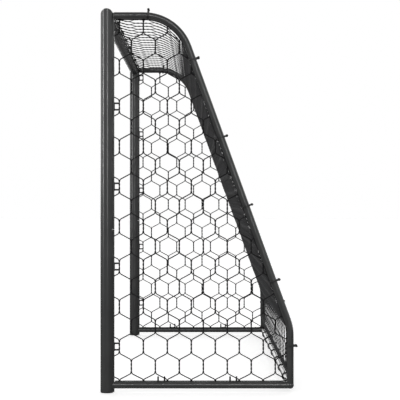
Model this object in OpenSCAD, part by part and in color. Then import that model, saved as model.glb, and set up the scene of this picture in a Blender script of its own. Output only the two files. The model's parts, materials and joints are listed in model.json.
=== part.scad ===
// Free-standing garden football goal: thick round front frame, bent side frames, hexagonal net.
// X runs across the mouth, +Y from the mouth to the back, +Z up. The origin is on the ground,
// in the middle of the width and of the depth.

/* [Overall size] */
// Width over the outsides of the posts
goal_w = 3000; // [2400:10:3660]
// Height of the top of the crossbar
goal_h = 1989; // [1600:1:2440]
// Depth from the front of the posts to the back of the rear tube
goal_d = 1002; // [820:2:1240]

/* [Front frame] */
// Diameter of the posts and the crossbar
front_d = 67; // [56:1:82]
// Wall of the posts and the crossbar
front_t = 2; // [1.6:0.1:3]
// How far the net rail stands out behind the round tube
rail_h = 5; // [3:0.5:7]
// Width of the net rail
rail_w = 20; // [18:1:26]
// Length of the corner's leg, from the top of the goal to its seam
corner_leg = 327; // [250:1:400]
// Length of the corner's arm, from the outside of the goal to its seam
corner_arm = 300; // [250:1:400]
// Length of the lower post tube, from the ground to its seam
lower_post_l = 846; // [650:1:1000]
// Length of the sleeves inside the front frame's joints
front_sleeve_l = 160; // [100:5:200]
// Rounding at the bottom of the foot caps
foot_round = 4; // [2:0.5:6]

/* [Side frames] */
// Diameter of the side, rear and ground tubes
side_d = 36; // [30:0.5:44]
// Wall of the side, rear and ground tubes
side_t = 1.5; // [1.2:0.1:2.5]
// Height of the top tube's centreline under the top of the crossbar
top_drop = 34; // [28:1:50]
// Distance from the front of the goal to the point where the roof and slope lines meet
roof_run = 396; // [330:1:475]
// Height where the slope and rear lines meet
knee_z = 340; // [290:1:412]
// Bend radius at the top, on the centreline
top_bend_r = 243; // [200:1:292]
// Bend radius at the knee, on the centreline
knee_bend_r = 216; // [180:1:260]
// Height of the ground tubes' centrelines
ground_z = 39; // [34:1:56]
// Length of the top socket behind the post
top_socket_l = 29; // [24:1:60]
// Length of the ground socket behind the post
ground_socket_l = 63; // [50:1:80]
// Length of the top socket's spigot, inside the top bend tube
spigot_l = 100; // [60:1:120]
// Length of the swaged tube ends, inside the next tube or fitting
swage_l = 45; // [34:1:50]
// Height of the joint in the middle of the slope
upper_joint_z = 1176; // [1000:1:1400]
// Height of the joint above the knee
knee_joint_z = 451; // [430:1:540]
// Height of the seam on top of the rear corner
corner_up = 171; // [150:1:210]
// Length of the rear corner's other two arms, from its centre to the seam
corner_out = 69; // [55:1:90]

/* [Net] */
// Width of one net cell
net_cell = 124.4; // [100:0.1:150]
// Distance between two rows of cells
net_row = 103.75; // [85:0.25:125]
// Thickness of the net panels
net_t = 2; // [1.5:0.5:5]
// Height of the middle of the lowest row of upright strands
net_low_row = 31; // [30:1:45]

/* [Clips] */
// Distance between the two fingers of a clip
finger_gap = 33.5; // [28:0.5:40]
// Thickness of a finger
finger_d = 9; // [7:0.5:11]
// Length of the fingers on the posts
post_finger_l = 28; // [22:0.5:34]
// Length of the fingers on the crossbar
bar_finger_l = 10; // [8:0.5:20]
// Length of the fingers on the ground side tubes
ground_finger_l = 28; // [22:0.5:34]
// Diameter of the ball tips
ball_d = 13; // [10:0.5:16]
// How far the ball tips stand out of the tube
ball_reach = 19.5; // [17:0.5:26]
// Width of the band round a tube, along it
band_w = 9; // [6:0.5:12]
// Thickness of the band round a tube
band_t = 5; // [3:0.5:6]

/* [Fits] */
// Gap between the ends of two tubes, filled by the sleeve's collar
seam = 1.5; // [1:0.5:3]
// Clearance round sleeves, spigots and clips
slip = 0.3; // [0.2:0.05:0.5]
// Diameter of the screws' shanks
screw_d = 5; // [4:0.5:6]

/* [Hidden] */
$fn = 64;

LEFT = -1;
RIGHT = 1;

// Front frame
front_r = front_d / 2;
rail_face = front_r + rail_h;       // from the tube's axis to the rail's face
slot_mouth_w = rail_w * 0.35;
slot_mouth_h = 4;
slot_w = rail_w * 0.65;
slot_h = 5;
slot_floor = rail_face - slot_mouth_h - slot_h;
rail_root = slot_floor - 4;         // the rail block's inner face
sleeve_t = 2.5;
bar_z = goal_h - front_r;
post_x = goal_w / 2 - front_r;
leg_seam_z = goal_h - corner_leg;
arm_seam_x = goal_w / 2 - corner_arm;
foot_h = 8;
screw_off = front_sleeve_l / 4;     // a joint's screws, from its seam
front_head_d = 9;
front_head_h = 3;                   // sunk into the slot's floor, so that clips slide over it
groove = 0.6;                       // depth of the groove that shows at a seam
bend_inset = 0.3;                   // how far a bend's wall lies inside the straight tubes' walls

// Depths are counted from the front of the posts, and the origin lies in the middle of the depth
mid_y = (goal_d + ball_reach) / 2;
front_y = front_r - mid_y;          // the posts' axes
rail_y = front_y + rail_face;       // the rails' faces

// Side frames
side_r = side_d / 2;
spigot_r = side_r - side_t - slip;
spigot_t = 2.5;
rear_y = goal_d - side_r - mid_y;
top_z = goal_h - top_drop;
apex_y = roof_run - mid_y;
slope_a = atan2(rear_y - apex_y, top_z - knee_z);   // the slope's lean from upright
top_tangent = top_bend_r * tan((90 - slope_a) / 2);
knee_tangent = knee_bend_r * tan(slope_a / 2);
bend_y = apex_y - top_tangent;      // where the top bend begins
knee_end_z = knee_z - knee_tangent; // where the rear line begins

// Distances along the bent tube's centreline, from the rail's face
s_bend = bend_y - rail_y;
s_slope = s_bend + top_bend_r * (90 - slope_a) * PI / 180;
s_knee = s_slope + norm([rear_y - apex_y, top_z - knee_z]) - top_tangent - knee_tangent;
s_rear = s_knee + knee_bend_r * slope_a * PI / 180;
s_end = s_rear + knee_end_z - ground_z;
s_upper_joint = s_slope + (path_point(s_slope)[1] - upper_joint_z) / cos(slope_a);
s_knee_joint = s_slope + (path_point(s_slope)[1] - knee_joint_z) / cos(slope_a);
s_corner = s_end - (corner_up - ground_z);

// Where the ball-tipped clips sit, as shares of the bent tube's whole length
back_clip_at = [0.076, 0.228, 0.415, 0.58, 0.76, 0.911];

// Net
strand_y = rail_y + 26;             // the first upright strand, behind the post
net_in = side_r + 5;                // from the tubes' centrelines to the roof and back net
side_net_in = side_r + band_t + 5;  // from the tubes' centrelines to the side net's edge
back_net_x = post_x - side_r - band_t - 3;
finger_end = rail_y + post_finger_l + slip;
bar_clip_pitch = 3 * net_cell;
bar_clip_n = floor((arm_seam_x - finger_gap) / bar_clip_pitch);
post_clip_pitch = 4 * net_row;
post_clip_n = floor((top_z - side_r - finger_gap - net_low_row - 2 * net_row) / post_clip_pitch);
ground_clip_n = floor((rear_y - corner_out - finger_gap - strand_y - 1.75 * net_cell)
    / bar_clip_pitch);

// Screws of the side frames
head_d = 10;
head_h = 3;
shank_l = 7;
screw_back = 20;                    // a joint's screw, from its seam
top_screw_y = rail_y + 104;
ground_screw_y = rail_y + 41;
corner_screw_y = rear_y - corner_out + 13;

frame_col = [0.25, 0.25, 0.27];
inner_col = [0.12, 0.12, 0.13];
net_col = [0.08, 0.08, 0.08];
clip_col = [0.06, 0.06, 0.06];
screw_col = [0.15, 0.15, 0.16];

// ---- the bent tube's centreline, as [y, z] and as its direction's angle ----

function turned(s, start, radius) = (s - start) / radius * 180 / PI;

function path_angle(s) =
    s <= s_bend ? 0 :
    s <= s_slope ? -turned(s, s_bend, top_bend_r) :
    s <= s_knee ? slope_a - 90 :
    s <= s_rear ? slope_a - 90 - turned(s, s_knee, knee_bend_r) :
    -90;

function on_arc(y, z, radius, a) = [y + radius * cos(a), z + radius * sin(a)];

function path_point(s) =
    s <= s_bend ? [rail_y + s, top_z] :
    s <= s_slope ? on_arc(bend_y, top_z - top_bend_r, top_bend_r, 90 + path_angle(s)) :
    s <= s_knee ? path_point(s_slope) + (s - s_slope) * [sin(slope_a), -cos(slope_a)] :
    s <= s_rear ? on_arc(rear_y - knee_bend_r, knee_end_z, knee_bend_r, 90 + path_angle(s)) :
    [rear_y, knee_end_z - (s - s_rear)];

// The same point moved inward, towards the net, by a distance
function inward(s, by) = path_point(s) + by * [sin(path_angle(s)), -cos(path_angle(s))];

// ---- shapes used more than once ----

// Outline of a front tube, with its net rail towards +Y
module front_outline(grow = 0) {
    circle(r = front_r + grow);
    translate([-rail_w / 2 - grow, 0]) square([rail_w + 2 * grow, rail_face]);
}

module front_profile() {
    difference() {
        front_outline();
        intersection() {
            circle(r = front_r - front_t);
            translate([-front_d, rail_root - 2 * front_d]) square(2 * front_d);
        }
        translate([-slot_mouth_w / 2, slot_floor]) square([slot_mouth_w, front_d]);
        translate([-slot_w / 2, slot_floor]) square([slot_w, slot_h]);
    }
}

// A round outline cut flat, which fills a front tube's hollow up to its rail
module flat_round(r, flat) {
    intersection() {
        circle(r = r);
        translate([-front_d, flat - 2 * front_d]) square(2 * front_d);
    }
}

module front_screw_hole() {
    rotate([-90, 0, 0]) {
        translate([0, 0, rail_root - 10])
            cylinder(d = screw_d + 2 * slip, h = slot_floor - rail_root + 11);
        translate([0, 0, slot_floor - front_head_h])
            cylinder(d = front_head_d + 2 * slip, h = front_head_h + 1);
    }
}

// A front tube from z0 to z1, with screw holes at the given heights
module front_tube(z0, z1, holes = []) {
    difference() {
        translate([0, 0, z0]) linear_extrude(z1 - z0) front_profile();
        for (z = holes) translate([0, 0, z]) front_screw_hole();
    }
}

// The sleeve inside a front joint, centred on the seam, with a collar that fills the seam
module front_sleeve() {
    outer = front_r - front_t - slip;
    flat = rail_root - slip;
    difference() {
        union() {
            translate([0, 0, -front_sleeve_l / 2]) linear_extrude(front_sleeve_l)
                flat_round(outer, flat);
            translate([0, 0, -seam / 2]) linear_extrude(seam)
                flat_round(front_r - groove, flat);
        }
        translate([0, 0, -front_sleeve_l]) linear_extrude(2 * front_sleeve_l)
            flat_round(outer - sleeve_t, flat - 3);
        for (z = [-screw_off, screw_off]) translate([0, 0, z]) front_screw_hole();
    }
}

module front_screw() {
    rotate([-90, 0, 0]) {
        translate([0, 0, slot_floor - front_head_h]) cylinder(d = front_head_d, h = front_head_h);
        translate([0, 0, rail_root - 8]) cylinder(d = screw_d, h = slot_floor - rail_root + 7);
    }
}

// Puts its children on a post's axis, at a height, on one side
module on_post(side, z = 0) {
    translate([side * post_x, front_y, z]) children();
}

// Puts its children on the crossbar's axis with their Z along +X
module on_bar(x = 0) {
    translate([x, front_y, bar_z]) rotate([0, 90, 0]) children();
}

// Everything on one side of the corner's mitre: 1 keeps the arm, -1 keeps the leg
module mitre_half(keep) {
    big = 3 * corner_leg;
    translate([post_x, front_y, bar_z]) rotate([0, -45, 0])
        translate([-big / 2, -big / 2, keep > 0 ? 0 : -big]) cube(big);
}

// A side frame's plane, with local X along the goal's Y and local Y up
module side_plane(side) {
    translate([side * post_x, 0, 0]) rotate([90, 0, 90]) children();
}

module ring(r, t) {
    difference() {
        circle(r = r);
        circle(r = r - t);
    }
}

// A straight round tube in the side plane, from one [y, z] to another
module straight_tube(from, to, r, t) {
    along = to - from;
    translate([from[0], from[1], 0]) rotate([0, 0, atan2(along[1], along[0])])
        rotate([0, 90, 0]) linear_extrude(norm(along)) ring(r, t);
}

// A bend round the origin. It runs a little way into the straight tubes at its ends, inside their walls.
module bend(start, turn, bend_r, r, t) {
    lap = 0.1;
    rotate([0, 0, start - lap]) rotate_extrude(angle = turn + 2 * lap, $fn = 192)
        translate([bend_r, 0]) ring(r - bend_inset, t - 2 * bend_inset);
}

// A stretch of the bent tube in the side plane, between two distances along it
module bent_tube(s0, s1, r, t) {
    for (k = [[0, s_bend], [s_slope, s_knee], [s_rear, s_end]]) {
        a = max(s0, k[0]);
        b = min(s1, k[1]);
        if (b > a) straight_tube(path_point(a), path_point(b), r, t);
    }
    if (s0 < s_bend && s1 > s_slope)
        translate([bend_y, top_z - top_bend_r, 0])
            bend(slope_a, 90 - slope_a, top_bend_r, r, t);
    if (s0 < s_knee && s1 > s_rear)
        translate([rear_y - knee_bend_r, knee_end_z, 0])
            bend(0, slope_a, knee_bend_r, r, t);
}

// A tube's swaged end, along +Z: a grooved shoulder, then the part that slides into the next tube
module swage() {
    root = spigot_r - side_t;
    lap = 1;
    translate([0, 0, -lap]) linear_extrude(lap + seam)
        ring(side_r - groove, side_r - groove - root);
    linear_extrude(seam + swage_l) ring(spigot_r, side_t);
}

// The same, on the bent tube and pointing up it, back towards the post
module swage_on_path(s) {
    translate([path_point(s)[0], path_point(s)[1], 0])
        rotate([0, 0, path_angle(s)]) rotate([0, -90, 0]) swage();
}

// Puts its children at a distance along the bent tube: local X runs along it, local Y points out
module on_path(side, s) {
    side_plane(side) translate([path_point(s)[0], path_point(s)[1], 0])
        rotate([0, 0, path_angle(s)]) children();
}

// A side frame's screw or its hole, standing on +Z over a tube's axis
module screw() {
    translate([0, 0, side_r]) cylinder(d = head_d, h = head_h);
    translate([0, 0, side_r - shank_l]) cylinder(d = screw_d, h = shank_l);
}

module screw_hole() {
    translate([0, 0, side_r - shank_l - 2])
        cylinder(d = screw_d + 2 * slip, h = shank_l + 6);
}

module at_top_screw(side) {
    translate([side * post_x, top_screw_y, top_z]) rotate([0, side * 90, 0]) children();
}

module at_ground_screw(side) {
    translate([side * post_x, ground_screw_y, ground_z]) children();
}

module at_corner_screw(side) {
    translate([side * post_x, corner_screw_y, ground_z]) children();
}

module at_bar_screw(side) {
    translate([side * (post_x - corner_out + 13), rear_y, ground_z]) rotate([-90, 0, 0]) children();
}

module at_upper_screw(side) {
    on_path(side, s_upper_joint - screw_back) rotate([0, side > 0 ? 0 : 180, 0]) children();
}

module at_knee_screw(side) {
    on_path(side, s_knee_joint - screw_back) rotate([-90, 0, 0]) children();
}

// A stub behind a post at a height, coped to the post
module post_stub(z, length) {
    difference() {
        translate([0, 0, z]) rotate([-90, 0, 0]) cylinder(r = side_r, h = rail_face + length);
        linear_extrude(goal_h) front_outline(slip);
        translate([0, 0, bar_z]) rotate([0, -90, 0])
            linear_extrude(2 * corner_arm, center = true) front_outline(slip);
    }
}

// Two fingers on a foot. The fingers point along +Y, and lie finger_gap apart along Z.
module fingers(length) {
    for (z = [-finger_gap / 2, finger_gap / 2]) translate([0, 0, z]) {
        rotate([-90, 0, 0]) cylinder(d = finger_d, h = length - finger_d / 2);
        translate([0, length - finger_d / 2, 0]) sphere(d = finger_d);
    }
}

// A clip whose foot slides in a front tube's slot. Its origin is on the tube's axis.
module slot_clip(finger_l) {
    foot_l = finger_gap + finger_d + 2;
    foot_w = slot_w - 2 * slip;
    neck_w = slot_mouth_w - 2 * slip;
    translate([-foot_w / 2, slot_floor + slip, -foot_l / 2]) cube([foot_w, slot_h - 2 * slip, foot_l]);
    translate([-neck_w / 2, slot_floor + slip, -foot_l / 2])
        cube([neck_w, rail_face - slot_floor, foot_l]);
    translate([-finger_d / 2, rail_face, -foot_l / 2]) cube([finger_d, 3, foot_l]);
    translate([0, rail_face, 0]) fingers(finger_l);
}

// A clip that stands on a ground tube, with its fingers up. Its origin is on the tube's axis.
module tube_clip() {
    foot_l = finger_gap + finger_d + 2;
    difference() {
        translate([-finger_d / 2 - 2, -foot_l / 2, 0]) cube([finger_d + 4, foot_l, side_r + 3]);
        rotate([90, 0, 0]) cylinder(r = side_r + slip / 2, h = 2 * foot_l, center = true);
    }
    translate([0, 0, side_r + 1]) rotate([90, 0, 0]) fingers(ground_finger_l - 1);
}

// A clip round a tube, in the tube's cross-section: local X along the tube, local +Y outward
module band_clip() {
    inner = side_r + slip;
    ball_y = side_r + ball_reach - ball_d / 2;
    rotate([0, 90, 0]) translate([0, 0, -band_w / 2]) {
        difference() {
            cylinder(r = inner + band_t, h = band_w);
            translate([0, 0, -1]) cylinder(r = inner, h = band_w + 2);
            translate([-2 * side_d, 0, -1]) cube([4 * side_d, 2 * side_d, band_w + 2]);
        }
        for (x = [-inner - band_t, inner]) translate([x, 0, 0]) cube([band_t, ball_y, band_w]);
    }
    for (z = [-1, 1]) translate([0, ball_y, z * (inner + band_t / 2)]) sphere(d = ball_d);
}

// A flat slab of net in a strip across the goal, between two distances along the bent tube
module net_strip(s0, s1) {
    outline = [
        inward(s0, net_in - net_t / 2), inward(s1, net_in - net_t / 2),
        inward(s1, net_in + net_t / 2), inward(s0, net_in + net_t / 2)
    ];
    side_plane(0) linear_extrude(2 * back_net_x, center = true) polygon(outline);
}

// ---- front frame ----

module crossbar(side) {
    a = side > 0 ? seam / 2 : -arm_seam_x + seam / 2;
    b = side > 0 ? arm_seam_x - seam / 2 : -seam / 2;
    color(frame_col) on_bar() front_tube(a, b, [a - seam / 2 + screw_off, b + seam / 2 - screw_off]);
}

module corner(side) {
    color(frame_col) mirror([side > 0 ? 0 : 1, 0, 0]) {
        intersection() {
            on_post(RIGHT) front_tube(leg_seam_z + seam / 2, goal_h + 1, [leg_seam_z + screw_off]);
            mitre_half(-1);
        }
        intersection() {
            on_bar() front_tube(arm_seam_x + seam / 2, goal_w / 2 + 1, [arm_seam_x + screw_off]);
            mitre_half(1);
        }
    }
}

module upper_post(side) {
    color(frame_col) on_post(side)
        front_tube(lower_post_l + seam / 2, leg_seam_z - seam / 2,
            [lower_post_l + screw_off, leg_seam_z - screw_off]);
}

module lower_post(side) {
    color(frame_col) on_post(side)
        front_tube(foot_h, lower_post_l - seam / 2, [lower_post_l - screw_off]);
}

module foot_cap(side) {
    plug_r = front_r - front_t - slip;
    color(clip_col) on_post(side) {
        rotate_extrude() {
            square([front_r - foot_round, foot_h]);
            translate([0, foot_round]) square([front_r, foot_h - foot_round]);
            intersection() {
                translate([front_r - foot_round, foot_round]) circle(r = foot_round);
                square([front_r, foot_h]);
            }
        }
        translate([-rail_w / 2, 0, foot_round]) cube([rail_w, rail_face, foot_h - foot_round]);
        translate([0, 0, foot_h - 1]) linear_extrude(26) flat_round(plug_r, rail_root - slip);
    }
}

module crossbar_sleeve() {
    color(inner_col) on_bar() front_sleeve();
}

module corner_arm_sleeve(side) {
    color(inner_col) on_bar(side * arm_seam_x) front_sleeve();
}

module upper_post_sleeve(side) {
    color(inner_col) on_post(side, leg_seam_z) front_sleeve();
}

module lower_post_sleeve(side) {
    color(inner_col) on_post(side, lower_post_l) front_sleeve();
}

module front_screws() {
    color(screw_col) {
        for (side = [LEFT, RIGHT], z = [leg_seam_z, lower_post_l], d = [-screw_off, screw_off])
            on_post(side, z + d) front_screw();
        for (x = [-arm_seam_x, 0, arm_seam_x], d = [-screw_off, screw_off])
            on_bar(x + d) front_screw();
    }
}

// ---- side frames ----

module top_socket(side) {
    end = rail_face + top_socket_l;
    color(frame_col) difference() {
        on_post(side) {
            post_stub(top_z, top_socket_l - seam);
            translate([0, end - seam - 1, top_z]) rotate([-90, 0, 0]) {
                cylinder(r = side_r - groove, h = seam + 1);
                cylinder(r = spigot_r, h = seam + 1 + spigot_l);
            }
        }
        on_post(side) translate([0, rail_face + 4, top_z]) rotate([-90, 0, 0])
            cylinder(r = spigot_r - spigot_t, h = top_socket_l + spigot_l);
        at_top_screw(side) screw_hole();
    }
}

module ground_socket(side) {
    color(frame_col) difference() {
        on_post(side) post_stub(ground_z, ground_socket_l);
        on_post(side) translate([0, rail_face + 4, ground_z]) rotate([-90, 0, 0])
            cylinder(r = side_r - side_t, h = ground_socket_l);
        at_ground_screw(side) screw_hole();
    }
}

module top_bend_tube(side) {
    color(frame_col) difference() {
        side_plane(side) bent_tube(top_socket_l, s_upper_joint, side_r, side_t);
        at_top_screw(side) screw_hole();
        at_upper_screw(side) screw_hole();
    }
}

module slope_tube(side) {
    color(frame_col) difference() {
        side_plane(side) {
            swage_on_path(s_upper_joint + seam);
            bent_tube(s_upper_joint + seam, s_knee_joint, side_r, side_t);
        }
        at_upper_screw(side) screw_hole();
        at_knee_screw(side) screw_hole();
    }
}

module knee_tube(side) {
    color(frame_col) difference() {
        union() {
            side_plane(side) {
                swage_on_path(s_knee_joint + seam);
                bent_tube(s_knee_joint + seam, s_corner - seam, side_r, side_t);
            }
            translate([side * post_x, rear_y, corner_up + seam]) rotate([180, 0, 0]) swage();
        }
        at_knee_screw(side) screw_hole();
    }
}

// Three hollow arms, up, forward and inward, round a solid middle
module rear_corner(side) {
    up = corner_up - ground_z;
    bore_r = side_r - side_t;
    solid_l = corner_out - swage_l - 2;
    color(frame_col) difference() {
        translate([side * post_x, rear_y, ground_z]) {
            sphere(r = side_r + 1.2);
            cylinder(r = side_r, h = up);
            rotate([90, 0, 0]) cylinder(r = side_r, h = corner_out);
            rotate([0, -side * 90, 0]) cylinder(r = side_r, h = corner_out);
        }
        translate([side * post_x, rear_y, ground_z]) {
            translate([0, 0, solid_l]) cylinder(r = bore_r, h = up);
            rotate([90, 0, 0]) translate([0, 0, solid_l]) cylinder(r = bore_r, h = corner_out);
            rotate([0, -side * 90, 0]) translate([0, 0, solid_l])
                cylinder(r = bore_r, h = corner_out);
        }
        at_corner_screw(side) screw_hole();
        at_bar_screw(side) screw_hole();
    }
}

module ground_side_tube(side) {
    from = rail_y + ground_socket_l + seam;
    to = rear_y - corner_out - seam;
    color(frame_col) difference() {
        union() {
            side_plane(side) straight_tube([from, ground_z], [to, ground_z], side_r, side_t);
            translate([side * post_x, from, ground_z]) rotate([90, 0, 0]) swage();
            translate([side * post_x, to, ground_z]) rotate([-90, 0, 0]) swage();
        }
        at_ground_screw(side) screw_hole();
        at_corner_screw(side) screw_hole();
    }
}

module ground_bar(side) {
    end = post_x - corner_out - seam;
    color(frame_col) difference() {
        translate([0, rear_y, ground_z]) rotate([0, side * 90, 0]) {
            translate([0, 0, seam / 2]) linear_extrude(end - seam / 2) ring(side_r, side_t);
            translate([0, 0, end]) swage();
        }
        at_bar_screw(side) screw_hole();
    }
}

module ground_bar_sleeve() {
    color(inner_col) translate([0, rear_y, ground_z]) rotate([0, 90, 0]) {
        linear_extrude(2 * swage_l, center = true) ring(spigot_r, spigot_t);
        linear_extrude(seam, center = true) ring(side_r - groove, side_t + spigot_t);
    }
}

module side_screws() {
    color(screw_col) for (side = [LEFT, RIGHT]) {
        at_top_screw(side) screw();
        at_ground_screw(side) screw();
        at_corner_screw(side) screw();
        at_bar_screw(side) screw();
        at_upper_screw(side) screw();
        at_knee_screw(side) screw();
    }
}

// ---- net ----

module net_side(side) {
    edge = side_net_in;
    low = ground_z + side_r + ground_finger_l + 2;
    arc_steps = 8;
    outline = [
        [finger_end + 1, low],
        [finger_end + 1, top_z - edge],
        for (i = [0 : arc_steps]) inward(s_bend + (s_slope - s_bend) * i / arc_steps, edge),
        for (i = [0 : 2]) inward(s_knee + (s_rear - s_knee) * i / 2, edge),
        [rear_y - edge, low]
    ];
    color(net_col) side_plane(side) linear_extrude(net_t, center = true) polygon(outline);
}

module net_roof() {
    color(net_col) net_strip(post_finger_l + 3, s_bend - slip);
}

module net_bend() {
    steps = 5;
    step = (s_slope - s_bend) / steps;
    color(net_col) for (i = [0 : steps - 1])
        net_strip(s_bend + i * step + slip, s_bend + (i + 1) * step - slip);
}

module net_slope() {
    color(net_col) net_strip(s_slope + slip, s_knee - slip);
}

module net_low_back() {
    color(net_col) {
        net_strip(s_knee + slip, s_rear - slip);
        net_strip(s_rear + slip, s_end - side_r - band_t - 5);
    }
}

// ---- clips ----

module post_clips(side) {
    color(clip_col) for (i = [0 : post_clip_n])
        on_post(side, net_low_row + 2 * net_row + i * post_clip_pitch) slot_clip(post_finger_l);
}

module crossbar_clips() {
    color(clip_col) for (i = [-bar_clip_n : bar_clip_n])
        on_bar(i * bar_clip_pitch) slot_clip(bar_finger_l);
}

module ground_clips(side) {
    color(clip_col) for (i = [0 : ground_clip_n])
        translate([side * post_x, strand_y + 1.75 * net_cell + i * bar_clip_pitch, ground_z])
            tube_clip();
}

module back_clips(side) {
    color(clip_col) for (share = back_clip_at) on_path(side, share * s_end) band_clip();
}

module ground_bar_clips() {
    color(clip_col) for (i = [-bar_clip_n : bar_clip_n])
        translate([i * bar_clip_pitch, rear_y, ground_z]) band_clip();
}

crossbar(LEFT);  // crossbar_left
crossbar(RIGHT);  // crossbar_right
corner(LEFT);  // corner_left
corner(RIGHT);  // corner_right
upper_post(LEFT);  // upper_post_left
upper_post(RIGHT);  // upper_post_right
lower_post(LEFT);  // lower_post_left
lower_post(RIGHT);  // lower_post_right
foot_cap(LEFT);  // foot_cap_left
foot_cap(RIGHT);  // foot_cap_right
crossbar_sleeve();
corner_arm_sleeve(LEFT);  // corner_arm_sleeve_left
corner_arm_sleeve(RIGHT);  // corner_arm_sleeve_right
upper_post_sleeve(LEFT);  // upper_post_sleeve_left
upper_post_sleeve(RIGHT);  // upper_post_sleeve_right
lower_post_sleeve(LEFT);  // lower_post_sleeve_left
lower_post_sleeve(RIGHT);  // lower_post_sleeve_right
front_screws();
top_socket(LEFT);  // top_socket_left
top_socket(RIGHT);  // top_socket_right
ground_socket(LEFT);  // ground_socket_left
ground_socket(RIGHT);  // ground_socket_right
top_bend_tube(LEFT);  // top_bend_tube_left
top_bend_tube(RIGHT);  // top_bend_tube_right
slope_tube(LEFT);  // slope_tube_left
slope_tube(RIGHT);  // slope_tube_right
knee_tube(LEFT);  // knee_tube_left
knee_tube(RIGHT);  // knee_tube_right
rear_corner(LEFT);  // rear_corner_left
rear_corner(RIGHT);  // rear_corner_right
ground_side_tube(LEFT);  // ground_side_tube_left
ground_side_tube(RIGHT);  // ground_side_tube_right
ground_bar(LEFT);  // ground_bar_left
ground_bar(RIGHT);  // ground_bar_right
ground_bar_sleeve();
side_screws();
net_side(LEFT);  // net_side_left
net_side(RIGHT);  // net_side_right
net_roof();
net_bend();
net_slope();
net_low_back();
post_clips(LEFT);  // post_clips_left
post_clips(RIGHT);  // post_clips_right
crossbar_clips();
ground_clips(LEFT);  // ground_clips_left
ground_clips(RIGHT);  // ground_clips_right
back_clips(LEFT);  // back_clips_left
back_clips(RIGHT);  // back_clips_right
ground_bar_clips();
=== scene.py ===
import json
import math

import bpy
import numpy as np
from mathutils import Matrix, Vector


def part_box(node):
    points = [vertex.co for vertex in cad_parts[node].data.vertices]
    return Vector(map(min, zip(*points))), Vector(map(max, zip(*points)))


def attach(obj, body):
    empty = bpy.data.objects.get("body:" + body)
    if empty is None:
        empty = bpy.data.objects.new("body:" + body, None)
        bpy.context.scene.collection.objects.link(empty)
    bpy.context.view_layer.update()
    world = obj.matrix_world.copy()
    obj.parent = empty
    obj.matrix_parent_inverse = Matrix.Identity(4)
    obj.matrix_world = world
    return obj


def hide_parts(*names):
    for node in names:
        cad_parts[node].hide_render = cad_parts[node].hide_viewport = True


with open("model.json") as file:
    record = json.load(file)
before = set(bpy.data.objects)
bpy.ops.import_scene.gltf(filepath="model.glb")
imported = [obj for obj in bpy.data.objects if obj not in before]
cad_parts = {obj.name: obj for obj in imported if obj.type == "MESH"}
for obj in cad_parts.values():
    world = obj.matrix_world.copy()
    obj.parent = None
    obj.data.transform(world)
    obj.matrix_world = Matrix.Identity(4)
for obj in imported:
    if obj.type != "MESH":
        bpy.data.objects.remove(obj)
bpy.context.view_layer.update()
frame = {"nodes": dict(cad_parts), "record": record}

# ---- where things are, in metres: from the CAD boxes, and the bends as in the part's source ----

post_low, post_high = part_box("upper_post_right")
bar_low, bar_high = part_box("crossbar_right")
ground_low, ground_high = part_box("ground_bar_right")
_, top_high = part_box("top_bend_tube_right")
POST_X = (post_low.x + post_high.x) / 2
RAIL_Y = post_high.y            # the face of the net rail on the posts and the crossbar
BAR_Z = (bar_low.z + bar_high.z) / 2
TUBE_R = (ground_high.z - ground_low.z) / 2
GROUND_Z = (ground_low.z + ground_high.z) / 2
REAR_Y = (ground_low.y + ground_high.y) / 2
TOP_Z = top_high.z - TUBE_R

# Where a side tube's roof and slope lines meet, and its slope and upright lines, as (y, z)
ROOF_CORNER = (-0.11475, TOP_Z)
KNEE_CORNER = (REAR_Y, 0.340)
TOP_BEND_R = 0.243
KNEE_BEND_R = 0.216

# ---- the net's own sizes ----

CELL = 0.1244                   # across a cell, from strand to strand
ROW = 0.10375                   # along the strands, from row to row
STRAND = 0.070                  # length of the twisted stretch
CORD_R = 0.0030                 # in the side nets
BACK_CORD_R = 0.0020            # in the roof and back net
TWIST_R = 0.0015                # a cord's centre from the middle of the twist
TWISTS = 1.5
TWIST_SHORT = 0.004             # how much the twist falls short of each end of its stretch
MOUTH = (0.0034, 0.0008)        # where a cord turns in to the twist: from its middle, past its end
NET_IN = TUBE_R + 0.002         # roof and back net, from the tubes' centrelines
EDGE_IN = 0.018                 # the edge cord, inward from the centrelines both ways
EDGE_R = 0.0030
SLOT_IN = 0.006                 # how far the side net's front edge goes into the rail's slot
SIDE_STRAND_Y = RAIL_Y + 0.026  # the side net's first strand
SIDE_ROW_Z = 0.031              # the side net's lowest row
SIDE_DRAW = 0.050               # within this of the tubes, the side net draws in to the edge cord
ROOF_ROW_Y = RAIL_Y + 0.037     # the roof net's first row
STRAND_IN = 0.003               # the roof and back net's last strands, inward from the edge cord
GATHER = 0.030                  # within this of its sides, that net draws out to the edge cord
LEAD_IN = 0.08                  # behind the crossbar, the run over which that drawing out starts
DROOP = 0.003                   # how far that net hangs in
DROOP_RUN = 0.5                 # from its sides, the distance over which it comes to hang so
TIE_R = 0.0010
TIE_LENGTH = 0.005
TIE_TURNS = 2
TIE_GAP = 0.0007                # from the edge cord's surface to the middle of the tie's cord

# The back net's two ends, as (y, z): behind the crossbar's rail, and on top of the ground bar
FRONT_EDGE = (RAIL_Y + 0.0045, BAR_Z - 0.0060)
REAR_EDGE = (REAR_Y + 0.010, GROUND_Z + 0.0190)


# ---- lines and tubes ----

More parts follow.
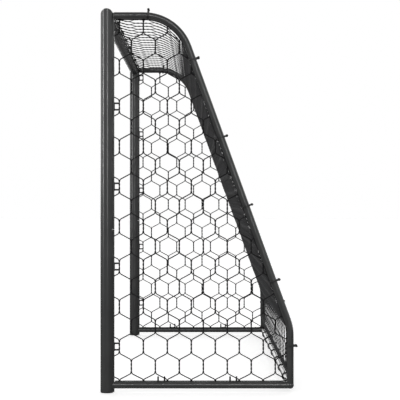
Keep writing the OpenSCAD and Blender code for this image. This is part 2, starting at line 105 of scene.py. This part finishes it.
def rounded_line(corners, radii, step=0.004):
    """Points along a flat line through corners, each inner corner rounded to its radius."""
    corners = [np.array(c, float) for c in corners]
    points = [corners[0]]
    for before, corner, after, radius in zip(corners, corners[1:], corners[2:], radii):
        a = (before - corner) / np.linalg.norm(before - corner)
        b = (after - corner) / np.linalg.norm(after - corner)
        half = math.acos(np.clip(a @ b, -1, 1)) / 2
        reach = radius / math.tan(half)
        middle = corner + (a + b) / np.linalg.norm(a + b) * radius / math.sin(half)
        start, end = corner + a * reach - middle, corner + b * reach - middle
        turn = math.pi - 2 * half
        count = max(4, int(turn * radius / step))
        for i in range(count + 1):
            t = i / count
            arm = start * math.sin((1 - t) * turn) + end * math.sin(t * turn)
            points.append(middle + arm / math.sin(turn))
    points.append(corners[-1])
    return resampled(np.array(points), step)


def resampled(points, step):
    run = np.r_[0, np.cumsum(np.linalg.norm(np.diff(points, axis=0), axis=1))]
    at = np.linspace(0, run[-1], max(2, int(run[-1] / step) + 1))
    return np.stack([np.interp(at, run, points[:, k]) for k in range(points.shape[1])], axis=1)


class Route:
    """A flat (y, z) line with its length along it. Inward is to the right of its direction."""

    def __init__(self, points):
        self.points = points
        self.run = np.r_[0, np.cumsum(np.linalg.norm(np.diff(points, axis=0), axis=1))]
        tangent = np.gradient(points, axis=0)
        tangent /= np.linalg.norm(tangent, axis=1)[:, None]
        self.inward = np.stack([tangent[:, 1], -tangent[:, 0]], axis=1)

    def at(self, s):
        return np.stack([np.interp(s, self.run, self.points[:, k]) for k in (0, 1)], axis=-1)

    def inward_at(self, s):
        return np.stack([np.interp(s, self.run, self.inward[:, k]) for k in (0, 1)], axis=-1)

    def distance(self, yz):
        """Shortest distance from each point to the line."""
        return np.array([np.min(np.linalg.norm(self.points - p, axis=1)) for p in yz])


def side_route(inset, start, *end):
    """The bent tube's line moved inward, from a start point to the end points, all as (y, z).
    A start above the moved roof line comes down to it first."""
    slope = np.array(KNEE_CORNER) - np.array(ROOF_CORNER)
    slope /= np.linalg.norm(slope)
    lean = math.atan2(slope[0], -slope[1])
    roof = (ROOF_CORNER[0] - inset * math.tan((math.pi / 2 - lean) / 2), TOP_Z - inset)
    knee = (REAR_Y - inset, KNEE_CORNER[1] - inset * math.tan(lean / 2))
    radii = [TOP_BEND_R - inset, KNEE_BEND_R - inset] + [0.05] * (len(end) - 1)
    if start[1] > TOP_Z - inset + 1e-6:
        landing = (start[0] + 0.055, TOP_Z - inset)
        return Route(rounded_line([start, landing, roof, knee, *end], [0.05] + radii))
    return Route(rounded_line([start, roof, knee, *end], radii))


def swept(name, lines, radius, sides=8):
    """One mesh of round capped tubes along many lines.
    Its "lay" keeps the run along the tube and the turn round it, for the material."""
    verts, faces, lay = [], [], []
    turn = np.arange(sides) / sides * 2 * math.pi
    for points in lines:
        count = len(points)
        tangent = np.gradient(points, axis=0)
        tangent /= np.linalg.norm(tangent, axis=1)[:, None] + 1e-12
        side = np.cross(tangent[0], [0.31, 0.87, 0.38])
        sides_at = []
        for t in tangent:
            side = side - t * (side @ t)
            side /= np.linalg.norm(side)
            sides_at.append(side)
        one = np.array(sides_at)
        two = np.cross(tangent, one)
        ring = (points[:, None] + radius * (np.cos(turn)[None, :, None] * one[:, None]
                                            + np.sin(turn)[None, :, None] * two[:, None]))
        base = len(verts)
        verts.extend(ring.reshape(-1, 3))
        run = np.r_[0, np.cumsum(np.linalg.norm(np.diff(points, axis=0), axis=1))]
        lay.extend((r, k / sides, 0) for r in run for k in range(sides))
        for i in range(count - 1):
            for k in range(sides):
                n = (k + 1) % sides
                faces.append((base + i * sides + k, base + i * sides + n,
                              base + (i + 1) * sides + n, base + (i + 1) * sides + k))
        faces.append(tuple(base + k for k in reversed(range(sides))))
        faces.append(tuple(base + (count - 1) * sides + k for k in range(sides)))
    mesh = bpy.data.meshes.new(name)
    mesh.from_pydata([tuple(v) for v in verts], [], faces)
    mesh.update()
    data = mesh.attributes.new("lay", "FLOAT_VECTOR", "POINT")
    data.data.foreach_set("vector", np.array(lay, np.float32).ravel())
    mesh.polygons.foreach_set("use_smooth", [len(p.vertices) == 4 for p in mesh.polygons])
    piece = bpy.data.objects.new(name, mesh)
    bpy.context.scene.collection.objects.link(piece)
    return piece


# ---- the net: every cord runs on down the panel, twists with its neighbour, and steps aside ----

def cord_period(lean):
    """One row of one cord, as (across, along, out), from the middle of the slanting stretch above
    its twist to the middle of the one below."""
    rise = (ROW - STRAND) / 2
    half = STRAND / 2
    points = [(CELL / 4, half + rise, 0.0), (CELL / 8, half + rise / 2, 0.0),
              (CELL / 16, half + rise / 4, 0.0), (MOUTH[0], half + MOUTH[1], 0.0)]
    steps = 15
    for i in range(steps + 1):
        t = i / steps
        phase = 2 * math.pi * TWISTS * t
        opening = 1 + 0.75 * max(0.0, abs(2 * t - 1) - 0.8) / 0.2
        points.append((TWIST_R * opening * math.cos(phase), (half - TWIST_SHORT) * (1 - 2 * t),
                       TWIST_R * math.sin(phase)))
    points += [(-a, -b, c) for a, b, c in reversed(points[1:4])]
    points = np.array(points)
    if lean < 0:
        points[:, 0] *= -1
        points[:, 2] *= -1
    return points


def hex_cords(across, along, across_first, along_first):
    """Whole cords over the two ranges, as (across, along, out) lines, not yet cut to the panel."""
    rows = range(int((along[0] - along_first) / ROW) - 2,
                 int((along[1] - along_first) / ROW) + 3)
    wide = len(rows) // 2 + 2
    starts = range(int((across[0] - across_first) / CELL) - wide,
                   int((across[1] - across_first) / CELL) + wide)
    for lean in (1, -1):
        period = cord_period(lean)
        for start in starts:
            shift = across_first + start * CELL + (CELL / 2 if rows[-1] % 2 else 0)
            yield np.concatenate(
                [period + (shift - lean * n * CELL / 2, along_first + row * ROW, 0)
                 for n, row in enumerate(reversed(rows))])


def cut(line, inside):
    """The stretches of a line that are inside, each ended close to the edge. Four fine steps
    between two of the line's own points find the edge, and only own points and ends are kept."""
    steps = [np.linspace(a, b, 4, endpoint=False) for a, b in zip(line, line[1:])]
    fine = np.concatenate(steps + [line[-1:]])
    keep = inside(fine)
    runs, start = [], None
    for i, k in enumerate(list(keep) + [False]):
        if k and start is None:
            start = i
        if not k and start is not None:
            if i - start > 6:
                first, last = start, i - 1
                own = [j for j in range(first, last + 1) if j % 4 == 0]
                if not own or own[0] - first > 1:
                    own = [first] + own
                if last - own[-1] > 1:
                    own.append(last)
                if len(own) > 2:
                    runs.append(fine[own])
            start = None
    return runs


def eased(x):
    x = np.clip(x, 0, 1)
    return x * x * (3 - 2 * x)


edge_route = side_route(EDGE_IN, (FRONT_EDGE[0], TOP_Z - EDGE_IN),
                        (REAR_Y - EDGE_IN, GROUND_Z + 0.10), REAR_EDGE)
net_route = side_route(NET_IN, FRONT_EDGE, (REAR_Y - NET_IN, GROUND_Z + 0.10), REAR_EDGE)
knots = []                      # where cords end at the edge cord, to be tied


def add_knots(line):
    knots.extend(p for p in (line[0], line[-1]) if p[1] > RAIL_Y + 0.004)


def side_net_lines(side):
    """One side net's cords, in the plane of the side tubes and drawn in to the edge cord."""
    centre = side_route(0, (RAIL_Y - 0.05, TOP_Z), (REAR_Y, 0.0))
    top = side_route(EDGE_IN, (RAIL_Y - SLOT_IN, TOP_Z - EDGE_IN),
                     (REAR_Y - EDGE_IN, GROUND_Z + EDGE_IN))
    rim = np.concatenate([top.points, [[RAIL_Y - SLOT_IN, GROUND_Z + EDGE_IN]]])

    def inside(points):
        y, z = points[:, 0], points[:, 1]
        crossings = np.zeros(len(points), int)
        for (y0, z0), (y1, z1) in zip(rim, np.roll(rim, -1, axis=0)):
            if z0 != z1:
                spans = (z0 > z) != (z1 > z)
                crossings += spans & (y < y0 + (z - z0) / (z1 - z0) * (y1 - y0))
        return crossings % 2 == 1

    lines = []
    for cord in hex_cords((RAIL_Y, REAR_Y), (0, TOP_Z), SIDE_STRAND_Y, SIDE_ROW_Z):
        for run in cut(cord, inside):
            rim_gap = np.minimum(centre.distance(run[:, :2]), run[:, 1] - GROUND_Z)
            draw = EDGE_IN * eased((SIDE_DRAW - rim_gap) / (SIDE_DRAW - EDGE_IN))
            x = side * (POST_X - draw + run[:, 2])
            line = np.stack([x, run[:, 0], run[:, 1]], axis=1)
            lines.append(line)
            add_knots(line)
    return lines


def back_net_lines():
    """The cords of the net over the roof, round the bend, down the slope and to the ground bar."""
    length = net_route.run[-1]
    half = POST_X - EDGE_IN
    first_row = net_route.run[np.argmin(np.abs(net_route.points[:, 0] - ROOF_ROW_Y))]

    def inside(points):
        return (np.abs(points[:, 0]) < half) & (points[:, 1] > 0) & (points[:, 1] < length)

    lines = []
    for cord in hex_cords((-half, half), (0, length), half - STRAND_IN - CELL / 2, first_row):
        for run in cut(cord, inside):
            x, s = run[:, 0], run[:, 1]
            near_side = eased((np.abs(x) - half + GATHER) / GATHER)
            sag = np.sin(math.pi * np.clip(s / length, 0, 1)) ** 0.6
            droop = DROOP * eased((half - np.abs(x)) / DROOP_RUN) * sag
            out = run[:, 2] - (NET_IN - EDGE_IN) * near_side * eased(s / LEAD_IN) + droop
            yz = net_route.at(s) + net_route.inward_at(s) * out[:, None]
            line = np.stack([x, yz[:, 0], yz[:, 1]], axis=1)
            lines.append(line)
            add_knots(line)
    return lines


def edge_lines():
    """The thicker cord that the net is tied to: over the roof and down the slope on each side, and
    along the ground tubes, the crossbar and the ground bar."""
    x = POST_X - EDGE_IN
    z = GROUND_Z + EDGE_IN
    low_line = ((RAIL_Y + 0.002, z), (REAR_Y - 0.045, z), (REAR_Y - 0.010, z + 0.0035), REAR_EDGE)
    lines = []
    for side in (-1, 1):
        for line in (edge_route.points, np.array(low_line)):
            lines.append(resampled(np.insert(line, 0, side * x, axis=1), 0.012))
    for y, z in (FRONT_EDGE, REAR_EDGE):
        lines.append(resampled(np.array([(-x, y, z), (x, y, z)]), 0.02))
    return lines


def whipping(point):
    """A few turns of thin cord round the edge cord, where a net cord is tied to it."""
    x, y, z = point
    if abs(abs(x) - (POST_X - EDGE_IN)) > 0.006:
        along = np.array([1.0, 0, 0])
    elif z < GROUND_Z + EDGE_IN + 0.004:
        along = np.array([0, 1.0, 0])
    else:
        i = np.argmin(np.linalg.norm(edge_route.points - (y, z), axis=1))
        last = len(edge_route.points) - 1
        ahead = edge_route.points[min(i + 1, last)] - edge_route.points[max(i - 1, 0)]
        along = np.array([0, *(ahead / np.linalg.norm(ahead))])
    one = np.cross(along, [0.3, 0.5, 0.8])
    one /= np.linalg.norm(one)
    two = np.cross(along, one)
    t = np.linspace(0, 1, 15)[:, None]
    turn = 2 * math.pi * TIE_TURNS * t
    middle = np.array(point) + along * TIE_LENGTH * (t - 0.5)
    return middle + (EDGE_R + TIE_GAP) * (np.cos(turn) * one + np.sin(turn) * two)


# ---- materials ----

def nodes_of(name):
    material = bpy.data.materials.new(name)
    material.use_nodes = True
    tree = material.node_tree
    return material, tree, tree.nodes["Principled BSDF"]


def noise(tree, scale, detail=3.0, rough=0.5):
    where = tree.nodes.new("ShaderNodeTexCoord")
    made = tree.nodes.new("ShaderNodeTexNoise")
    made.inputs["Scale"].default_value = scale
    made.inputs["Detail"].default_value = detail
    made.inputs["Roughness"].default_value = rough
    tree.links.new(where.outputs["Object"], made.inputs["Vector"])
    return made.outputs["Fac"]


def ramp(tree, value, stops):
    made = tree.nodes.new("ShaderNodeValToRGB")
    for element, (place, colour) in zip(made.color_ramp.elements, (stops[0], stops[-1])):
        element.position, element.color = place, (*colour, 1)
    for place, colour in stops[1:-1]:
        made.color_ramp.elements.new(place).color = (*colour, 1)
    tree.links.new(value, made.inputs["Fac"])
    return made.outputs["Color"]


def spread(tree, value, low, high, start=0.3, end=0.7):
    made = tree.nodes.new("ShaderNodeMapRange")
    for name, v in (("From Min", start), ("From Max", end), ("To Min", low), ("To Max", high)):
        made.inputs[name].default_value = v
    tree.links.new(value, made.inputs["Value"])
    return made.outputs["Result"]


def maths(tree, kind, a, b=None):
    made = tree.nodes.new("ShaderNodeMath")
    made.operation = kind
    for socket, value in zip(made.inputs, (a, b)):
        if isinstance(value, (int, float)):
            socket.default_value = value
        elif value is not None:
            tree.links.new(value, socket)
    return made.outputs[0]


def bump(tree, shader, heights):
    """Bumps on bumps: (height, strength, distance) from the coarsest to the finest."""
    last = None
    for height, strength, distance in heights:
        made = tree.nodes.new("ShaderNodeBump")
        made.inputs["Strength"].default_value = strength
        made.inputs["Distance"].default_value = distance
        tree.links.new(height, made.inputs["Height"])
        if last:
            tree.links.new(last, made.inputs["Normal"])
        last = made.outputs["Normal"]
    tree.links.new(last, shader.inputs["Normal"])


def powder_coat():
    """Anthracite powder coat: satin, with a faint mottle, a fine orange peel and finer grit."""
    material, tree, shader = nodes_of("powder_coat")
    mottle = noise(tree, 9, 4)
    peel = noise(tree, 420, 2)
    grit = noise(tree, 1900, 2, 0.7)
    colour = ramp(tree, mottle, [(0.3, (0.045, 0.046, 0.046)), (0.55, (0.052, 0.053, 0.053)),
                                 (0.75, (0.060, 0.061, 0.061))])
    tree.links.new(colour, shader.inputs["Base Color"])
    tree.links.new(spread(tree, peel, 0.20, 0.27), shader.inputs["Roughness"])
    shader.inputs["Specular IOR Level"].default_value = 0.5
    bump(tree, shader, [(peel, 0.10, 0.0006), (grit, 0.06, 0.0002)])
    return material


def moulded(name, dark, light, gloss_low, gloss_high):
    """Moulded plastic: even, with a soft flow mottle and a fine spark-eroded grain."""
    material, tree, shader = nodes_of(name)
    flow = noise(tree, 35, 4)
    grain = noise(tree, 1300, 3, 0.6)
    tree.links.new(ramp(tree, flow, [(0.3, dark), (0.7, light)]), shader.inputs["Base Color"])
    tree.links.new(spread(tree, flow, gloss_low, gloss_high), shader.inputs["Roughness"])
    bump(tree, shader, [(flow, 0.08, 0.0006), (grain, 0.15, 0.0002)])
    return material


def black_anodised():
    """Drawn aluminium sleeves, black anodised, with fine draw lines."""
    material, tree, shader = nodes_of("black_anodised")
    lines = noise(tree, 240, 6, 0.7)
    colour = ramp(tree, lines, [(0.3, (0.016, 0.016, 0.017)), (0.7, (0.026, 0.026, 0.027))])
    tree.links.new(colour, shader.inputs["Base Color"])
    tree.links.new(spread(tree, lines, 0.28, 0.45), shader.inputs["Roughness"])
    shader.inputs["Metallic"].default_value = 0.3
    bump(tree, shader, [(lines, 0.12, 0.0003)])
    return material


def black_steel():
    """Blackened screws, worn a little brighter in patches."""
    material, tree, shader = nodes_of("black_steel")
    wear = noise(tree, 260, 5, 0.65)
    colour = ramp(tree, wear, [(0.4, (0.025, 0.025, 0.027)), (0.62, (0.04, 0.04, 0.042)),
                               (0.75, (0.13, 0.13, 0.135))])
    tree.links.new(colour, shader.inputs["Base Color"])
    tree.links.new(spread(tree, wear, 0.28, 0.5), shader.inputs["Roughness"])
    shader.inputs["Metallic"].default_value = 0.7
    bump(tree, shader, [(wear, 0.15, 0.0002)])
    return material


def braided(name, pick, dark, light):
    """Braided polyester: two sets of plaits that cross round the cord, and a little fuzz."""
    material, tree, shader = nodes_of(name)
    lay = tree.nodes.new("ShaderNodeAttribute")
    lay.attribute_name = "lay"
    split = tree.nodes.new("ShaderNodeSeparateXYZ")
    tree.links.new(lay.outputs["Vector"], split.inputs[0])
    run = maths(tree, "MULTIPLY", split.outputs["X"], 2 * math.pi / pick)
    turn = maths(tree, "MULTIPLY", split.outputs["Y"], 2 * math.pi * 2)
    one = maths(tree, "SINE", maths(tree, "ADD", run, turn))
    two = maths(tree, "SINE", maths(tree, "SUBTRACT", run, turn))
    crossed = maths(tree, "MULTIPLY", one, two)
    plait = maths(tree, "ADD", maths(tree, "MULTIPLY", crossed, 0.5), 0.5)
    fuzz = noise(tree, 2600, 3, 0.7)
    mixed = maths(tree, "ADD", maths(tree, "MULTIPLY", plait, 0.7),
                  maths(tree, "MULTIPLY", fuzz, 0.3))
    tree.links.new(ramp(tree, mixed, [(0.2, dark), (0.8, light)]), shader.inputs["Base Color"])
    tree.links.new(spread(tree, fuzz, 0.62, 0.85), shader.inputs["Roughness"])
    shader.inputs["Specular IOR Level"].default_value = 0.22
    shader.inputs["Sheen Weight"].default_value = 0.02
    shader.inputs["Sheen Roughness"].default_value = 0.4
    bump(tree, shader, [(plait, 0.5, 0.0006), (fuzz, 0.2, 0.0002)])
    return material


finishes = {
    "frame": powder_coat(),
    "sleeve": black_anodised(),
    "screw": black_steel(),
    "cap": moulded("cap_rubber", (0.014, 0.014, 0.015), (0.022, 0.022, 0.023), 0.50, 0.62),
    "clip": moulded("clip_nylon", (0.005, 0.005, 0.005), (0.010, 0.010, 0.010), 0.42, 0.55),
}
for part in frame["record"]["subparts"]:
    if part["material_slot"] in finishes:
        mesh = frame["nodes"][part["node"]].data
        mesh.materials.clear()
        mesh.materials.append(finishes[part["material_slot"]])


# ---- the soft pieces ----

net_finish = braided("net_cord", 0.0042, (0.004, 0.004, 0.004), (0.016, 0.016, 0.017))
# The roof and back net's cord is the same dark cord as the side nets' cord, coloured lighter:
# painted light, standing in for the light from above that grazes this net.
back_cord_painted_light = braided("back_net_cord", 0.0042, (0.036, 0.036, 0.037), (0.070, 0.070, 0.072))
edge_finish = braided("edge_cord", 0.0060, (0.004, 0.004, 0.004), (0.014, 0.014, 0.015))

nets = [
    ("side_net_left_cords", side_net_lines(-1), CORD_R, net_finish, ["net_side_left"]),
    ("side_net_right_cords", side_net_lines(1), CORD_R, net_finish, ["net_side_right"]),
    ("roof_and_back_net_cords", back_net_lines(), BACK_CORD_R, back_cord_painted_light,
     ["net_roof", "net_bend", "net_slope", "net_low_back"]),
]
for name, lines, radius, finish, stood_for in nets:
    piece = swept(name, lines, radius)
    piece.data.materials.append(finish)
    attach(piece, "root")
    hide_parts(*stood_for)

edge = swept("net_edge_cord", edge_lines(), EDGE_R, 10)
edge.data.materials.append(edge_finish)
ties = swept("net_ties", [whipping(p) for p in knots], TIE_R, 6)
ties.data.materials.append(net_finish)
for piece in (edge, ties):
    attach(piece, "root")


# ---- floor, light and camera ----

FLOOR_HALF = 60


def pale_floor():
    """A matt white floor that glows a little, so that it is as white as the photo's ground."""
    material, tree, shader = nodes_of("pale_floor")
    colour = ramp(tree, noise(tree, 3, 3), [(0.3, (0.86, 0.86, 0.86)), (0.7, (0.88, 0.88, 0.88))])
    tree.links.new(colour, shader.inputs["Base Color"])
    tree.links.new(spread(tree, noise(tree, 40, 3), 0.75, 0.85), shader.inputs["Roughness"])
    shader.inputs["Emission Color"].default_value = (1, 1, 1, 1)
    shader.inputs["Emission Strength"].default_value = 0.55
    return material


floor_mesh = bpy.data.meshes.new("floor")
floor_mesh.from_pydata([(x * FLOOR_HALF, y * FLOOR_HALF, 0)
                        for x, y in ((-1, -1), (1, -1), (1, 1), (-1, 1))], [], [(0, 1, 2, 3)])
floor = bpy.data.objects.new("floor", floor_mesh)
bpy.context.scene.collection.objects.link(floor)
floor.data.materials.append(pale_floor())
floor.visible_diffuse = False   # it lights nothing and isn't mirrored: the world does both
floor.visible_glossy = False


def light_at(name, azimuth, elevation, size, power, away=12.0):
    """A soft light turned to the near post. Seen from there, it stands at that azimuth, from +X
    towards +Y, and at that elevation, both in degrees."""
    lamp = bpy.data.lights.new(name, "AREA")
    lamp.shape = "RECTANGLE"
    lamp.size, lamp.size_y = size
    lamp.energy = power
    a, e = math.radians(azimuth), math.radians(elevation)
    flat = away * math.cos(e)
    from_post = Vector((flat * math.cos(a), flat * math.sin(a), away * math.sin(e)))
    made = bpy.data.objects.new(name, lamp)
    made.location = Vector((POST_X, 0, 1.0)) + from_post
    made.rotation_euler = (-from_post).to_track_quat("-Z", "Y").to_euler()
    bpy.context.scene.collection.objects.link(made)


light_at("strip_side", -66, 7, (0.8, 2.6), 300)
light_at("strip_middle", 11, 7, (0.6, 2.6), 150)
light_at("strip_high", 0, 25, (9.0, 0.5), 330)


def studio_world():
    """Plain white to the camera. The part sees a ring of light from the horizon up, dimmer towards
    the top and brighter on the far side, over a lower half that is dark near the horizon."""
    world = bpy.data.worlds.new("studio")
    world.use_nodes = True
    tree = world.node_tree
    where = tree.nodes.new("ShaderNodeTexCoord")
    split = tree.nodes.new("ShaderNodeSeparateXYZ")
    tree.links.new(where.outputs["Generated"], split.inputs[0])
    height = spread(tree, split.outputs["Z"], 0, 1, -1, 1)
    levels = ((0.0, 0.30), (0.40, 0.05), (0.49, 0.02), (0.515, 1.0), (0.60, 0.85), (0.70, 0.45),
              (1.0, 0.15))
    ring = ramp(tree, height, [(place, (v, v, v)) for place, v in levels])
    behind = spread(tree, split.outputs["X"], 2.6, 0.9, -1, 0.1)
    sky = tree.nodes.new("ShaderNodeMix")
    sky.data_type = "RGBA"
    sky.blend_type = "MULTIPLY"
    sky.inputs["Factor"].default_value = 1.0
    tree.links.new(ring, sky.inputs["A"])
    tree.links.new(behind, sky.inputs["B"])
    ray = tree.nodes.new("ShaderNodeLightPath")
    shown = tree.nodes.new("ShaderNodeMix")
    shown.data_type = "RGBA"
    tree.links.new(ray.outputs["Is Camera Ray"], shown.inputs["Factor"])
    tree.links.new(sky.outputs["Result"], shown.inputs["A"])
    shown.inputs["B"].default_value = (1.0, 1.0, 1.0, 1.0)
    tree.links.new(shown.outputs["Result"], tree.nodes["Background"].inputs["Color"])
    return world


bpy.context.scene.world = studio_world()
bpy.context.scene.view_settings.view_transform = "Standard"

# The photo's camera: level, from the near side along -X
camera_data = bpy.data.cameras.new("camera")
camera_data.sensor_width = 36.0
camera_data.lens = 120.2
camera_data.shift_x = 0.0025
camera_data.shift_y = -0.00175
camera_data.clip_end = 200.0
camera = bpy.data.objects.new("camera", camera_data)
camera.location = (8.394, 0.0004, 1.0023)
camera.rotation_euler = (math.pi / 2, 0, math.pi / 2)
bpy.context.scene.collection.objects.link(camera)
bpy.context.scene.camera = camera
